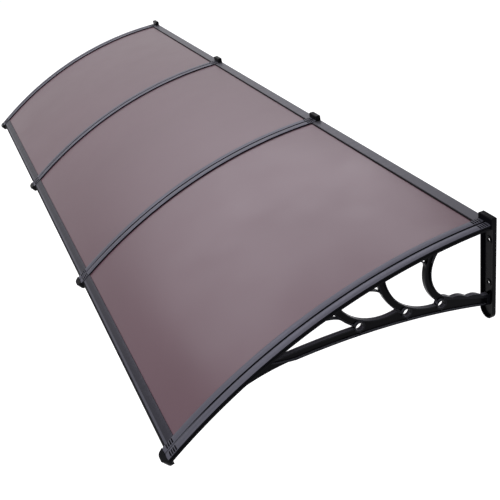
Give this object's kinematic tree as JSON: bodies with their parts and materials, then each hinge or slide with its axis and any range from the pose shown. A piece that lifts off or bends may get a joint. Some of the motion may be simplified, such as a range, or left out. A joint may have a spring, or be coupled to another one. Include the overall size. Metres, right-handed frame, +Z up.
{
  "type": "door canopy",
  "caption": "Curved polycarbonate door canopy: tinted sheets clamped by grey strips onto black scrolled wall brackets, to keep rain off a doorway.",
  "frame": {"origin": "on the wall plane, midway along the canopy, level with the top of the brackets' arms at the wall", "axes": "+X along the canopy, +Y into the wall, so the canopy reaches forward along -Y, +Z up"},
  "size_m": [3.056, 1.0209, 0.3795],
  "materials": {
    "black_moulding": "glossy black moulding",
    "grey_strip": "satin dark grey",
    "brown_sheet": "bronze-tinted polycarbonate, satin",
    "black_rubber": "matt black"
  },
  "bodies": {
    "root": {"bracket_1": "black_moulding", "bracket_2": "black_moulding", "bracket_3": "black_moulding", "bracket_4": "black_moulding", "press_strip_1": "grey_strip", "press_strip_2": "grey_strip", "press_strip_3": "grey_strip", "press_strip_4": "grey_strip", "sheet_1": "brown_sheet", "rear_strip_1": "grey_strip", "rear_gasket_1": "black_rubber", "front_strip_1": "grey_strip", "front_seal_1": "black_rubber", "sheet_2": "brown_sheet", "rear_strip_2": "grey_strip", "rear_gasket_2": "black_rubber", "front_strip_2": "grey_strip", "front_seal_2": "black_rubber", "sheet_3": "brown_sheet", "rear_strip_3": "grey_strip", "rear_gasket_3": "black_rubber", "front_strip_3": "grey_strip", "front_seal_3": "black_rubber"}
  },
  "joints": []
}
